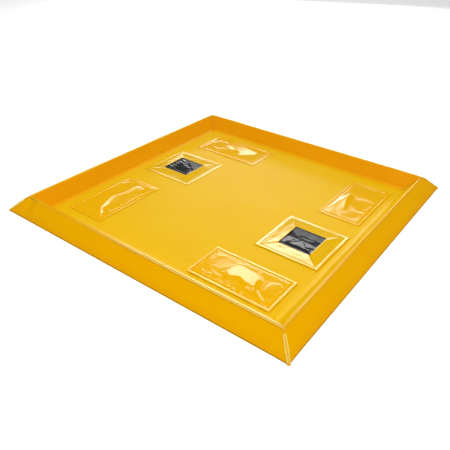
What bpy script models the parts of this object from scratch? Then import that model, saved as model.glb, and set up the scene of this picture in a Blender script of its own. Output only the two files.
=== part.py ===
"""A flexible spill containment tray: a square sheet of coated fabric with four foam-cored walls.

Each wall is a foam wedge between an outer and an inner cover, closed along its top by a crest seam.
The walls meet in mitred corners, sealed by a weld bead. Four welded pockets, each holding a flat pad,
lie round the floor like a pinwheel, and two square frames hold a black wrapped pad that shows
through a window. The foam walls give way underfoot: each crest seam slides straight down.

Frame: metres, +Z up, origin at the middle of the underside. The front wall is at -Y.
"""

import math

import bmesh
import bpy

# The tray
SIDE = 1.000
HALF = SIDE / 2
WALL_HEIGHT = 0.050
SHEET = 0.0012
GAP = 0.0003

# A wall's section, measured inwards from the outer edge
OUTER_RUN = 0.043
CREST_WIDTH = 0.008
INNER_RUN = 0.035
CREST_THICKNESS = 0.003
FOOT_WELD_WIDTH = 0.018

# Corners
MITRE_GAP = 0.003
CREST_END_GAP = 0.012
BEAD_RADIUS = 0.0017

# Pockets: a flange welded to the floor round a raised middle
POCKET_LENGTH = 0.265
POCKET_WIDTH = 0.143
POCKET_FLANGE = 0.009
POCKET_SLOPE = 0.006
PAD_THICKNESS = 0.005
PAD_CLEARANCE = 0.001
PAD_ROUNDING = 0.001

# Windows: a raised square frame over a wrapped pad
FRAME_SIDE = 0.200
FRAME_FLANGE = 0.008
FRAME_SLOPE = 0.009
OPENING_SIDE = 0.102
WRAPPED_SIDE = 0.160
WRAPPED_THICKNESS = 0.0055
FILM = 0.0008

# Levels and runs that follow
FLOOR_TOP = SHEET + GAP
RISE = WALL_HEIGHT - FLOOR_TOP
CREST_UNDERSIDE = WALL_HEIGHT - CREST_THICKNESS
BASE_WIDTH = OUTER_RUN + CREST_WIDTH + INNER_RUN

WALLS = ("front", "right", "back", "left")
CORNERS = ("front_right", "back_right", "back_left", "front_left")

# Centre on the floor, and whether the long side runs along Y
POCKETS = {
    "front": (0.250, -0.322, False),
    "right": (0.321, 0.228, True),
    "back": (-0.223, 0.306, False),
    "left": (-0.305, -0.242, True),
}
WINDOWS = {
    "right": (0.295, -0.078),
    "left": (-0.280, 0.069),
}

COLOURS = {
    # name: (base colour, roughness)
    "coated_fabric": ((0.90, 0.52, 0.01, 1.0), 0.25),
    "welded_fabric": ((0.88, 0.46, 0.01, 1.0), 0.22),
    "wall_foam": ((0.16, 0.16, 0.17, 1.0), 0.95),
    "pocket_pad": ((0.30, 0.30, 0.31, 1.0), 0.80),
    "black_film": ((0.02, 0.02, 0.022, 1.0), 0.18),
}


def clear_scene():
    for obj in list(bpy.data.objects):
        bpy.data.objects.remove(obj, do_unlink=True)


def make_material(name):
    colour, roughness = COLOURS[name]
    material = bpy.data.materials.new(name)
    material.use_nodes = True
    shader = material.node_tree.nodes["Principled BSDF"]
    shader.inputs["Base Color"].default_value = colour
    shader.inputs["Roughness"].default_value = roughness
    shader.inputs["Metallic"].default_value = 0.0
    material.diffuse_color = colour
    return material


class Tray:
    """The collection, the materials and the places that the pieces hang on."""

    def __init__(self):
        self.collection = bpy.data.collections.new("spill_containment_tray")
        bpy.context.scene.collection.children.link(self.collection)
        self.materials = {name: make_material(name) for name in COLOURS}
        self.quarter_turns = [self.add_place(f"quarter_turn_{n}", n) for n in range(len(WALLS))]

    def add_place(self, name, quarters):
        place = bpy.data.objects.new(name, None)
        place.rotation_euler.z = quarters * math.pi / 2
        self.collection.objects.link(place)
        return place

    def add(self, name, data, material, location=(0, 0, 0), parent=None):
        if not data.materials:
            data.materials.append(self.materials[material])
        obj = bpy.data.objects.new(name, data)
        obj.location = location
        obj.parent = parent
        self.collection.objects.link(obj)
        return obj

    def add_round_the_walls(self, prefix, data, material, suffixes=WALLS):
        """One object for each quarter turn, all sharing the front wall's shape."""
        for place, suffix in zip(self.quarter_turns, suffixes):
            self.add(f"{prefix}_{suffix}", data, material, parent=place)


def slope_thickness(thickness, run):
    """How wide a sheet of this thickness is along the floor, when it stands on a slope of this run."""
    return thickness * math.hypot(run, RISE) / RISE


def mitred_bar(name, section, end_gap=MITRE_GAP):
    """A bar along the front wall. Its section is (inset, height) points, and its ends stand on the mitres."""
    bm = bmesh.new()
    corners = [bm.verts.new((0, inset - HALF, height)) for inset, height in section]
    end = bm.faces.new(corners)
    other_end = bmesh.ops.extrude_face_region(bm, geom=[end])["geom"]
    for vertex in bm.verts:
        vertex.co.x = vertex.co.y + end_gap
    for vertex in other_end:
        if isinstance(vertex, bmesh.types.BMVert):
            vertex.co.x = -vertex.co.x
    bmesh.ops.recalc_face_normals(bm, faces=bm.faces)
    mesh = bpy.data.meshes.new(name)
    bm.to_mesh(mesh)
    bm.free()
    return mesh


def outer_cover_section():
    width = slope_thickness(SHEET, OUTER_RUN)
    return [
        (0, FLOOR_TOP),
        (width, FLOOR_TOP),
        (OUTER_RUN + width, WALL_HEIGHT),
        (OUTER_RUN, WALL_HEIGHT),
    ]


def inner_cover_section():
    width = slope_thickness(SHEET, INNER_RUN)
    crest_end = OUTER_RUN + CREST_WIDTH
    return [
        (BASE_WIDTH - width, FLOOR_TOP),
        (BASE_WIDTH, FLOOR_TOP),
        (crest_end, WALL_HEIGHT),
        (crest_end - width, WALL_HEIGHT),
    ]


def foam_section():
    """The wedge between the covers, cut off level under the crest seam."""
    low = FLOOR_TOP + GAP
    high = CREST_UNDERSIDE - GAP
    outer_run_per_rise = OUTER_RUN / RISE
    inner_run_per_rise = INNER_RUN / RISE
    outer = slope_thickness(SHEET + GAP, OUTER_RUN)
    inner = BASE_WIDTH - slope_thickness(SHEET + GAP, INNER_RUN)
    return [
        (outer + (low - FLOOR_TOP) * outer_run_per_rise, low),
        (inner - (low - FLOOR_TOP) * inner_run_per_rise, low),
        (inner - (high - FLOOR_TOP) * inner_run_per_rise, high),
        (outer + (high - FLOOR_TOP) * outer_run_per_rise, high),
    ]


def crest_seam_section():
    """A flat strip between the upper edges of the two covers, narrow enough to sink between them."""
    start = OUTER_RUN + slope_thickness(SHEET, OUTER_RUN) + GAP
    stop = OUTER_RUN + CREST_WIDTH - slope_thickness(SHEET, INNER_RUN) - GAP
    return [
        (start, CREST_UNDERSIDE),
        (stop, CREST_UNDERSIDE),
        (stop, WALL_HEIGHT),
        (start, WALL_HEIGHT),
    ]


def foot_weld_section():
    """The inner cover's hem, which lies on the floor."""
    start = BASE_WIDTH + GAP
    return [
        (start, FLOOR_TOP),
        (start + FOOT_WELD_WIDTH, FLOOR_TOP),
        (start + FOOT_WELD_WIDTH, FLOOR_TOP + SHEET),
        (start, FLOOR_TOP + SHEET),
    ]


def add_floor(tray):
    bm = bmesh.new()
    bmesh.ops.create_cube(bm, size=1)
    bmesh.ops.scale(bm, vec=(SIDE, SIDE, SHEET), verts=bm.verts)
    bmesh.ops.translate(bm, vec=(0, 0, SHEET / 2), verts=bm.verts)
    mesh = bpy.data.meshes.new("floor_sheet")
    bm.to_mesh(mesh)
    bm.free()
    tray.add("floor_sheet", mesh, "coated_fabric")


def add_walls(tray):
    pieces = (
        ("foam_core", foam_section(), MITRE_GAP, "wall_foam"),
        ("outer_cover", outer_cover_section(), MITRE_GAP, "coated_fabric"),
        ("inner_cover", inner_cover_section(), MITRE_GAP, "coated_fabric"),
        ("crest_seam", crest_seam_section(), CREST_END_GAP, "welded_fabric"),
        ("foot_weld", foot_weld_section(), GAP, "welded_fabric"),
    )
    for name, section, end_gap, material in pieces:
        tray.add_round_the_walls(name, mitred_bar(name, section, end_gap), material)


def add_corner_welds(tray):
    """A bead in the mitre from the outer base corner, over the crest, to the inner foot."""
    low = FLOOR_TOP + BEAD_RADIUS
    high = WALL_HEIGHT - BEAD_RADIUS
    share = 2 * BEAD_RADIUS / RISE
    path = (
        (share * OUTER_RUN, low),
        (OUTER_RUN, high),
        (OUTER_RUN + CREST_WIDTH, high),
        (BASE_WIDTH - share * INNER_RUN, low),
    )
    curve = bpy.data.curves.new("corner_weld", "CURVE")
    curve.dimensions = "3D"
    curve.bevel_depth = BEAD_RADIUS
    curve.bevel_resolution = 2
    curve.use_fill_caps = True
    spline = curve.splines.new("POLY")
    spline.points.add(len(path) - 1)
    for point, (inset, height) in zip(spline.points, path):
        point.co = (HALF - inset, inset - HALF, height, 1)
    tray.add_round_the_walls("corner_weld", curve, "welded_fabric", CORNERS)


def inset(bm, faces, width):
    bmesh.ops.inset_region(
        bm,
        faces=faces,
        thickness=width,
        use_boundary=True,
        use_even_offset=True,
    )


def raised_sheet(name, size_x, size_y, flange, slope, rise, opening=None):
    """An open sheet with a flat flange and a raised middle, which can have a square opening."""
    bm = bmesh.new()
    bmesh.ops.create_grid(bm, x_segments=1, y_segments=1, size=0.5)
    bmesh.ops.scale(bm, vec=(size_x, size_y, 1), verts=bm.verts)
    middle = list(bm.faces)
    inset(bm, middle, flange)
    inset(bm, middle, slope)
    for vertex in middle[0].verts:
        vertex.co.z = rise
    if opening is not None:
        margin = (size_x - opening) / 2 - flange - slope
        inset(bm, middle, margin)
        bmesh.ops.delete(bm, geom=middle, context="FACES_ONLY")
    mesh = bpy.data.meshes.new(name)
    bm.to_mesh(mesh)
    bm.free()
    return mesh


def thicken(obj, thickness, offset):
    """Makes an open sheet solid. Offset 1 adds the thickness above it, and -1 below."""
    solidify = obj.modifiers.new("thickness", "SOLIDIFY")
    solidify.thickness = thickness
    solidify.offset = offset
    solidify.use_even_offset = True


def block(name, size_x, size_y, height, rounding):
    """A flat pad that stands on z = 0, with rounded edges, from a cube."""
    bm = bmesh.new()
    bmesh.ops.create_cube(bm, size=1)
    bmesh.ops.scale(bm, vec=(size_x, size_y, height), verts=bm.verts)
    bmesh.ops.translate(bm, vec=(0, 0, height / 2), verts=bm.verts)
    bmesh.ops.bevel(
        bm,
        geom=bm.edges[:],
        offset=rounding,
        segments=2,
        profile=0.5,
        affect="EDGES",
    )
    mesh = bpy.data.meshes.new(name)
    bm.to_mesh(mesh)
    bm.free()
    return mesh


def add_pockets(tray):
    border = 2 * (POCKET_FLANGE + POCKET_SLOPE + PAD_CLEARANCE)
    rise = PAD_THICKNESS + GAP
    cover = raised_sheet("pocket_cover", POCKET_LENGTH, POCKET_WIDTH, POCKET_FLANGE, POCKET_SLOPE, rise)
    pad = block("pocket_pad", POCKET_LENGTH - border, POCKET_WIDTH - border, PAD_THICKNESS, PAD_ROUNDING)
    for name, (x, y, along_y) in POCKETS.items():
        turn = math.pi / 2 if along_y else 0
        sheet = tray.add(f"pocket_cover_{name}", cover, "coated_fabric", (x, y, FLOOR_TOP))
        sheet.rotation_euler.z = turn
        thicken(sheet, SHEET, 1)
        inside = tray.add(f"pocket_pad_{name}", pad, "pocket_pad", (x, y, FLOOR_TOP))
        inside.rotation_euler.z = turn


def film_tub(name):
    """The black film round a pad: five sides, open underneath."""
    bm = bmesh.new()
    bmesh.ops.create_cube(bm, size=1)
    bmesh.ops.scale(bm, vec=(WRAPPED_SIDE, WRAPPED_SIDE, WRAPPED_THICKNESS), verts=bm.verts)
    bmesh.ops.translate(bm, vec=(0, 0, WRAPPED_THICKNESS / 2), verts=bm.verts)
    underside = min(bm.faces, key=lambda face: face.calc_center_median().z)
    bmesh.ops.delete(bm, geom=[underside], context="FACES_ONLY")
    mesh = bpy.data.meshes.new(name)
    bm.to_mesh(mesh)
    bm.free()
    return mesh


def add_windows(tray):
    core_side = WRAPPED_SIDE - 2 * (FILM + GAP)
    core_thickness = WRAPPED_THICKNESS - FILM - GAP
    frame = raised_sheet(
        "window_frame",
        FRAME_SIDE,
        FRAME_SIDE,
        FRAME_FLANGE,
        FRAME_SLOPE,
        WRAPPED_THICKNESS + GAP,
        OPENING_SIDE,
    )
    film = film_tub("window_pad_film")
    core = block("window_pad_core", core_side, core_side, core_thickness, PAD_ROUNDING)
    for name, (x, y) in WINDOWS.items():
        place = (x, y, FLOOR_TOP)
        thicken(tray.add(f"window_frame_{name}", frame, "coated_fabric", place), SHEET, 1)
        thicken(tray.add(f"window_pad_film_{name}", film, "black_film", place), FILM, -1)
        tray.add(f"window_pad_core_{name}", core, "pocket_pad", place)


def main():
    clear_scene()
    tray = Tray()
    add_floor(tray)
    add_walls(tray)
    add_corner_welds(tray)
    add_pockets(tray)
    add_windows(tray)


main()
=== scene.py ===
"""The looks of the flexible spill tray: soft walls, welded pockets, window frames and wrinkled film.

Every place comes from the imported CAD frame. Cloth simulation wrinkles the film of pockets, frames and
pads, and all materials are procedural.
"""

import math
from functools import partial

import bpy
import numpy as np
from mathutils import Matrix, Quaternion, Vector


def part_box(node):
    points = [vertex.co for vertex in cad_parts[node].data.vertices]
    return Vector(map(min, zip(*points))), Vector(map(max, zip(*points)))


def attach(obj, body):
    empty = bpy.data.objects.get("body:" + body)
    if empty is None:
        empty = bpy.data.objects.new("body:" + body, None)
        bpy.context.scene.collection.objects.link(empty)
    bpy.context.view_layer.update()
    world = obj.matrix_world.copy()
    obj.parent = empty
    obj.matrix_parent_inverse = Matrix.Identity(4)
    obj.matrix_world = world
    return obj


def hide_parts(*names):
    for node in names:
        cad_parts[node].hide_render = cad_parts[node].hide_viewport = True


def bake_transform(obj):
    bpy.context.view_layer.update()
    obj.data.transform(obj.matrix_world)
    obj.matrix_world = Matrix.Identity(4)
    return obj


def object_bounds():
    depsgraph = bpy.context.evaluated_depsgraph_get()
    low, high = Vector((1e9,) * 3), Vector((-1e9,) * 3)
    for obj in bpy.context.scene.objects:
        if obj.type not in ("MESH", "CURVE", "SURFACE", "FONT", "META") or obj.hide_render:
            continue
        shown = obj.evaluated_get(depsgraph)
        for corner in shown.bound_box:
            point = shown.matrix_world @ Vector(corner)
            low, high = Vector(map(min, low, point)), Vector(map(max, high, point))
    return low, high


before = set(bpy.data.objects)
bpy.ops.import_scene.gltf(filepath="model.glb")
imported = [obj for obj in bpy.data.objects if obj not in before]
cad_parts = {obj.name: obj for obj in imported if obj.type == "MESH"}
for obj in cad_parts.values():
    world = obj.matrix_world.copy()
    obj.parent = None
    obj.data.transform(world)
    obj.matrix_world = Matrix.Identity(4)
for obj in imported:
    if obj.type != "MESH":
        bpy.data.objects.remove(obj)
CAD_BOX = [list(corner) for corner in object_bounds()]

WALLS = ("front", "right", "back", "left")
CORNERS = ("front_right", "back_right", "back_left", "front_left")
BODY = "tray"

# The soft crest's two bends lie this far outside the CAD seam
SEAM_SPREAD_OUT = 0.0018
SEAM_SPREAD_IN = 0.0010

# Sizes read from the CAD frame, metres
HALF = CAD_BOX[1][0]
HEIGHT = CAD_BOX[1][2]
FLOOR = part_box("floor_sheet")[1].z
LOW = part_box("outer_cover_front")[0].z
CREST_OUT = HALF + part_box("crest_seam_front")[0].y - SEAM_SPREAD_OUT
CREST_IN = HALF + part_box("crest_seam_front")[1].y + SEAM_SPREAD_IN
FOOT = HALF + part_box("inner_cover_front")[1].y
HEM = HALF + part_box("foot_weld_front")[1].y

# The crest's outer bend lies this much lower than its inner one, and the foot weld starts this far
# up from the foot
CREST_DROP = 0.0043
FOOT_LAP = 0.004
SHEET = 0.0010
MITRE_GAP = 0.0004


# -------------------- small tools

PLANE_WAVES = 14


def smoothstep(low, high, value):
    share = np.clip((value - low) / (high - low), 0, 1)
    return share * share * (3 - 2 * share)


def bump(value, width):
    """A bell that is 1 at zero and near 0 two widths away."""
    return np.exp(-((value / width) ** 2))


def waves(x, y, seed, wavelength):
    """A smooth random surface between about -1 and 1: a sum of plane waves round one wavelength."""
    rng = np.random.default_rng(seed)
    total = np.zeros(np.broadcast(x, y).shape)
    for _ in range(PLANE_WAVES):
        angle = rng.uniform(0, math.pi)
        pitch = wavelength * rng.uniform(0.6, 1.7)
        phase = rng.uniform(0, 2 * math.pi)
        total += np.sin((x * math.cos(angle) + y * math.sin(angle)) * 2 * math.pi / pitch + phase)
    return total / math.sqrt(PLANE_WAVES)


def new_object(name, mesh, material):
    mesh.materials.append(material)
    obj = bpy.data.objects.new(name, mesh)
    bpy.context.scene.collection.objects.link(obj)
    return obj


def grid_quads(points):
    """The point numbers of a grid (rows, columns, 3), and of the quads between them."""
    rows, columns = points.shape[:2]
    index = np.arange(rows * columns).reshape(rows, columns)
    return index, np.stack([index[:-1, :-1], index[1:, :-1], index[1:, 1:], index[:-1, 1:]], axis=-1)


def grid_mesh(name, points, keep=None):
    """A smooth sheet through a grid of points. keep says which of its quads stay."""
    _, quads = grid_quads(points)
    if keep is not None:
        quads = quads[keep]
    quads = quads.reshape(-1, 4)
    used, quads = np.unique(quads, return_inverse=True)
    mesh = bpy.data.meshes.new(name)
    mesh.from_pydata(points.reshape(-1, 3)[used].tolist(), [], quads.reshape(-1, 4).tolist())
    mesh.shade_smooth()
    return mesh


def closed_mesh(name, top, lower):
    """A closed body between two grids of points."""
    index, quads = grid_quads(top)
    quads = quads.reshape(-1, 4)
    under = quads[:, ::-1] + index.size
    rim = np.concatenate([index[:, 0], index[-1, 1:], index[-2::-1, -1], index[0, -2:0:-1]])
    after = np.roll(rim, -1)
    sides = np.stack([rim, rim + index.size, after + index.size, after], axis=-1)
    mesh = bpy.data.meshes.new(name)
    vertices = np.concatenate([top.reshape(-1, 3), lower.reshape(-1, 3)])
    mesh.from_pydata(vertices.tolist(), [], np.concatenate([quads, under, sides]).tolist())
    mesh.shade_smooth()
    mesh.set_sharp_from_angle(angle=math.radians(50))
    return mesh


def finish_faces(obj, material, chosen):
    """Gives the chosen faces of a piece a second material."""
    obj.data.materials.append(MATERIALS[material])
    obj.data.polygons.foreach_set("material_index", chosen.ravel().astype(np.int32))


def points_of(mesh):
    found = np.empty(len(mesh.vertices) * 3)
    mesh.vertices.foreach_get("co", found)
    return found.reshape(-1, 3)


def set_points(mesh, points):
    mesh.vertices.foreach_set("co", points.astype(np.float32).ravel())
    mesh.update()


def place(obj, node, slot):
    """Hides the CAD node that a piece on the tray's own body stands for, and puts the piece on that body.
    slot is not used.
    """
    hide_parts(node)
    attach(obj, BODY)


def thicken(obj, thickness):
    """Gives a sheet its thickness, downwards from its surface."""
    solidify = obj.modifiers.new("thickness", "SOLIDIFY")
    solidify.thickness = thickness
    solidify.offset = -1
    solidify.use_even_offset = False


def turned(points, quarters):
    """Points turned about +Z by quarter turns, from the front wall to another one."""
    cos, sin = math.cos(quarters * math.pi / 2), math.sin(quarters * math.pi / 2)
    turn = np.array([[cos, -sin, 0], [sin, cos, 0], [0, 0, 1]])
    return points @ turn.T


def direction(azimuth, elevation):
    """A unit vector. Azimuth 0 is +Y and turns towards +X, in degrees."""
    azimuth, elevation = math.radians(azimuth), math.radians(elevation)
    level = math.cos(elevation)
    return Vector((math.sin(azimuth) * level, math.cos(azimuth) * level, math.sin(elevation)))


# -------------------- materials

# Colours as linear red, green and blue. A pair is what a material drifts between.
FLOOR_LIGHT = (0.775, 0.462, 0.001)
FLOOR_DEEP = (0.765, 0.442, 0.001)
# Painted light and shade: a painted-shade copy of the inner walls' colour for the back and left walls, and a
# painted-light copy for the front and right
INNER_PAINTED_SHADE = ((0.83, 0.345, 0.0), (0.82, 0.325, 0.0))
INNER_LIT = ((0.80, 0.490, 0.001), (0.79, 0.470, 0.001))
OUTER = ((0.83, 0.405, 0.0), (0.82, 0.390, 0.0))
# Painted shade: the outer slope is darker low down, with a dark line along its base
OUTER_PAINTED_SHADE = (0.80, 0.365, 0.001)
HEM_PAINTED_SHADE = (0.42, 0.20, 0.008)
FILM_COLOURS = ((0.83, 0.438, 0.0), (0.82, 0.420, 0.0))
FRAME_COLOURS = ((0.78, 0.455, 0.001), (0.77, 0.438, 0.001))
WELD_COLOURS = ((0.82, 0.41, 0.002), (0.81, 0.39, 0.002))
# Painted highlight on the tops of the front and right crest welds
CREST_PAINTED_HIGHLIGHT = (0.90, 0.64, 0.14)
# Painted highlight on the front pocket's bead
BEAD_PAINTED_HIGHLIGHT = ((0.90, 0.62, 0.13), (0.88, 0.58, 0.10))
# Painted light: the crest weld of the back and left walls is painted paler than the same weld elsewhere
SHADED_CREST_PAINTED_LIGHT = ((0.82, 0.52, 0.02), (0.81, 0.49, 0.02))
# The film's own pale cut edge; the corner laps' rims take the same colour as a painted highlight
CUT_EDGE_AND_RIM_HIGHLIGHT = ((0.90, 0.72, 0.16), (0.88, 0.66, 0.12))
BLACK = ((0.012, 0.012, 0.013), (0.022, 0.022, 0.024))
FOAM = ((0.10, 0.10, 0.105), (0.05, 0.05, 0.055))
FELT = ((0.20, 0.20, 0.21), (0.12, 0.12, 0.125))

# The tints of reflections: on fabric, and on film and welds
WARM_SHEEN = (1.0, 0.90, 0.55)
PALE_SHEEN = (1.0, 0.95, 0.72)

# The heights between which the outer slope's painted shade low down and the line of painted shade at its
# base come in, metres
OUTER_SHADE_FADE = (0.022, 0.004)
HEM_SHADE_FADE = (0.0052, 0.0026)

# The range in which noise mostly lies, and the sizes of the fabric's relief in metres
NOISE_RANGE = (0.3, 0.7)
THREAD_PITCH = 0.0016
WEAVE_DEPTH = 0.00002
RIPPLE = 0.0005


class Nodes:
    """Short names for building a node tree."""

    def __init__(self, material, keep=False):
        material.use_nodes = True
        self.tree = material.node_tree
        if not keep:
            self.tree.nodes.clear()

    def add(self, kind, **values):
        node = self.tree.nodes.new(kind)
        for name, value in values.items():
            if name in node.inputs:
                node.inputs[name].default_value = value
            else:
                setattr(node, name, value)
        return node

    def link(self, source, target):
        self.tree.links.new(source, target)

    def noise(self, scale, detail, roughness, place):
        node = self.add("ShaderNodeTexNoise", Scale=scale, Detail=detail, Roughness=roughness)
        self.link(place, node.inputs["Vector"])
        return node.outputs["Fac"]

    def map_range(self, source, ends, kind):
        """ends are from low, from high, to low and to high."""
        node = self.add("ShaderNodeMapRange", interpolation_type=kind)
        for name, value in zip(("From Min", "From Max", "To Min", "To Max"), ends):
            node.inputs[name].default_value = value
        self.link(source, node.inputs["Value"])
        return node.outputs["Result"]

    def spread(self, source, low, high):
        """Maps the range in which noise mostly lies to low..high."""
        return self.map_range(source, (*NOISE_RANGE, low, high), "LINEAR")

    def mix(self, share, first, second):
        node = self.add("ShaderNodeMixRGB", Color1=(*first, 1), Color2=(*second, 1))
        self.link(share, node.inputs["Fac"])
        return node.outputs["Color"]

    def math(self, operation, first, second):
        node = self.add("ShaderNodeMath", operation=operation)
        for socket, value in zip(node.inputs, (first, second)):
            if isinstance(value, (int, float)):
                socket.default_value = value
            else:
                self.link(value, socket)
        return node.outputs["Value"]

    def bumped(self, height, distance, below=None):
        node = self.add("ShaderNodeBump")
        node.inputs["Distance"].default_value = distance
        self.link(height, node.inputs["Height"])
        if below is not None:
            self.link(below, node.inputs["Normal"])
        return node.outputs["Normal"]


def new_material(name):
    """A material, its nodes, the object's own coordinates and a shader linked to the output."""
    material = bpy.data.materials.new(name)
    n = Nodes(material)
    shader = n.add("ShaderNodeBsdfPrincipled")
    n.link(shader.outputs["BSDF"], n.add("ShaderNodeOutputMaterial").inputs["Surface"])
    return material, n, n.add("ShaderNodeTexCoord").outputs["Object"], shader


def object_axes(n):
    split = n.add("ShaderNodeSeparateXYZ")
    n.link(n.add("ShaderNodeTexCoord").outputs["Object"], split.inputs["Vector"])
    return split.outputs


def coated_fabric(name, colours, roughness, gloss, weave=WEAVE_DEPTH, ripple=0.0, sheen=WARM_SHEEN):
    """Plastic coated over a woven scrim: a gloss skin, a faint grid under it and soft colour drift."""
    material, n, place, shader = new_material(name)
    drift = n.spread(n.noise(7.0, 3.0, 0.5, place), 0.0, 1.0)
    n.link(n.mix(drift, *colours), shader.inputs["Base Color"])
    smears = n.spread(n.noise(18.0, 4.0, 0.6, place), roughness * 0.85, roughness * 1.2)
    n.link(smears, shader.inputs["Roughness"])
    axes = object_axes(n)
    turn = 2 * math.pi / THREAD_PITCH
    warp, weft = (n.math("SINE", n.math("MULTIPLY", axes[axis], turn), 0) for axis in "XY")
    normal = n.bumped(n.math("MULTIPLY", warp, weft), weave)
    normal = n.bumped(n.noise(260.0, 2.0, 0.5, place), 0.00008, normal)
    if ripple:
        normal = n.bumped(n.noise(38.0, 3.0, 0.55, place), ripple, normal)
    n.link(normal, shader.inputs["Normal"])
    shader.inputs["IOR"].default_value = 1.5
    shader.inputs["Specular IOR Level"].default_value = gloss
    shader.inputs["Specular Tint"].default_value = (*sheen, 1)
    return material


def tinted(material, share, colour):
    """Mixes another colour into a material's base colour, by a share from 0 to 1."""
    n = Nodes(material, keep=True)
    shader = next(node for node in n.tree.nodes if node.type == "BSDF_PRINCIPLED")
    below = shader.inputs["Base Color"].links[0].from_socket
    colours = n.add("ShaderNodeMixRGB", Color2=(*colour, 1))
    n.link(share, colours.inputs["Fac"])
    n.link(below, colours.inputs["Color1"])
    n.link(colours.outputs["Color"], shader.inputs["Base Color"])


def ramp(n, value, start, stop):
    """0 before start and 1 past stop. They may be in either order."""
    ends = (start, stop, 0.0, 1.0) if start < stop else (stop, start, 1.0, 0.0)
    return n.map_range(value, ends, "SMOOTHSTEP")


def foot_fabric(name, colours):
    """The hem at a wall's foot, whose colour runs from its inner cover's, with that wall's painted light or
    painted shade, to the floor's.
    """
    material = coated_fabric(name, colours, 0.34, 0.06, ripple=RIPPLE)
    n = Nodes(material, keep=True)
    axes = object_axes(n)
    outwards = n.math("MAXIMUM", n.math("ABSOLUTE", axes["X"], 0), n.math("ABSOLUTE", axes["Y"], 0))
    tinted(material, ramp(n, outwards, HALF - FOOT + FOOT_LAP, HALF - HEM), FLOOR_LIGHT)
    return material


def outer_fabric(name):
    """The outer slope: painted shade darkens it low down, and a line of painted shade runs along its base,
    where the cloth turns under.
    """
    material = coated_fabric(name, OUTER, 0.26, 0.02, ripple=RIPPLE)
    n = Nodes(material, keep=True)
    height = object_axes(n)["Z"]
    tinted(material, ramp(n, height, *OUTER_SHADE_FADE), OUTER_PAINTED_SHADE)
    tinted(material, ramp(n, height, *HEM_SHADE_FADE), HEM_PAINTED_SHADE)
    return material


def painted_highlight_fabric(name, axis, start, stop):
    """The top of a pressed weld, with a pale painted highlight that fades in between two places along its
    wall.
    """
    material = coated_fabric(name, WELD_COLOURS, 0.14, 0.5, sheen=PALE_SHEEN)
    n = Nodes(material, keep=True)
    tinted(material, ramp(n, object_axes(n)[axis], start, stop), CREST_PAINTED_HIGHLIGHT)
    return material


def black_film():
    """Thin black film, stretched and creased over the pad."""
    material, n, place, shader = new_material("black_film")
    drift = n.spread(n.noise(30.0, 3.0, 0.5, place), 0, 1)
    n.link(n.mix(drift, *BLACK), shader.inputs["Base Color"])
    n.link(n.spread(n.noise(55.0, 4.0, 0.6, place), 0.08, 0.15), shader.inputs["Roughness"])
    shader.inputs["Specular IOR Level"].default_value = 0.30
    normal = n.bumped(n.noise(70.0, 4.0, 0.6, place), 0.0003)
    normal = n.bumped(n.noise(400.0, 2.0, 0.5, place), 0.00006, normal)
    n.link(normal, shader.inputs["Normal"])
    return material


def open_cell(name, colours, scale):
    """Foam or felt: matt, with small cells."""
    material, n, place, shader = new_material(name)
    shader.inputs["Roughness"].default_value = 0.95
    cells = n.add("ShaderNodeTexVoronoi", Scale=scale)
    n.link(place, cells.inputs["Vector"])
    drift = n.spread(n.noise(60.0, 4.0, 0.6, place), 0, 1)
    n.link(n.mix(drift, *colours), shader.inputs["Base Color"])
    n.link(n.bumped(cells.outputs["Distance"], 0.0008), shader.inputs["Normal"])
    return material


MATERIALS = {
    "floor": coated_fabric("floor_fabric", (FLOOR_LIGHT, FLOOR_DEEP), 0.38, 0.05, ripple=RIPPLE),
    "outer": outer_fabric("outer_fabric"),
    # Painted-shade and painted-light copies of the inner and foot fabric
    "inner_shaded": coated_fabric("inner_fabric_shaded", INNER_PAINTED_SHADE, 0.32, 0.08, ripple=RIPPLE),
    "inner_lit": coated_fabric("inner_fabric_lit", INNER_LIT, 0.40, 0.01, ripple=RIPPLE),
    "foot_shaded": foot_fabric("foot_fabric_shaded", INNER_PAINTED_SHADE),
    "foot_lit": foot_fabric("foot_fabric_lit", INNER_LIT),
    "weld": coated_fabric("weld_fabric", WELD_COLOURS, 0.14, 0.5, sheen=PALE_SHEEN),
    # Weld tops with a painted highlight, for the front and right crests
    "painted_highlight_front": painted_highlight_fabric("painted_highlight_fabric_front", "X", -0.28, 0.12),
    "painted_highlight_right": painted_highlight_fabric("painted_highlight_fabric_right", "Y", -0.05, -0.36),
    # The back and left crests' weld, painted paler as painted light
    "shaded_crest_painted_light": coated_fabric("shaded_crest_painted_light_fabric", SHADED_CREST_PAINTED_LIGHT, 0.20, 0.3),
    "film": coated_fabric("pocket_film", FILM_COLOURS, 0.09, 0.5, weave=0.0, sheen=PALE_SHEEN),
    # The front pocket bead's film, with a painted highlight
    "painted_highlight_film": coated_fabric("painted_highlight_film", BEAD_PAINTED_HIGHLIGHT, 0.09, 0.5, weave=0.0, sheen=PALE_SHEEN),
    "frame": coated_fabric("frame_film", FRAME_COLOURS, 0.09, 0.8, weave=0.0, sheen=PALE_SHEEN),
    # Cut edge, whose colour also serves as the corner rims' painted highlight
    "edge": coated_fabric("cut_edge_and_rim_highlight", CUT_EDGE_AND_RIM_HIGHLIGHT, 0.5, 0.3),
    "black": black_film(),
    "foam": open_cell("wall_foam", FOAM, 700.0),
    "pad": open_cell("pad_felt", FELT, 1500.0),
}


# -------------------- walls

# Mesh steps in metres, and the points on each of the profile's arcs
PROFILE_STEP = 0.001
ARC_POINTS = 9
COVER_STEP = 0.002
CREST_STEP = 0.0004
ALONG_STEP = 0.006

# The crest seam reaches this far to both sides of the crest, under the covers' edges by COVER_LAP
CREST_REACH = 0.0064
COVER_LAP = 0.0024

# The two welds pressed along the crest: where each starts, how fast it rises and how its top tilts
WELD_STARTS = (-0.0042, -0.0003)
WELD_RISE = 0.0005
WELD_TILT = 0.78

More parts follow.
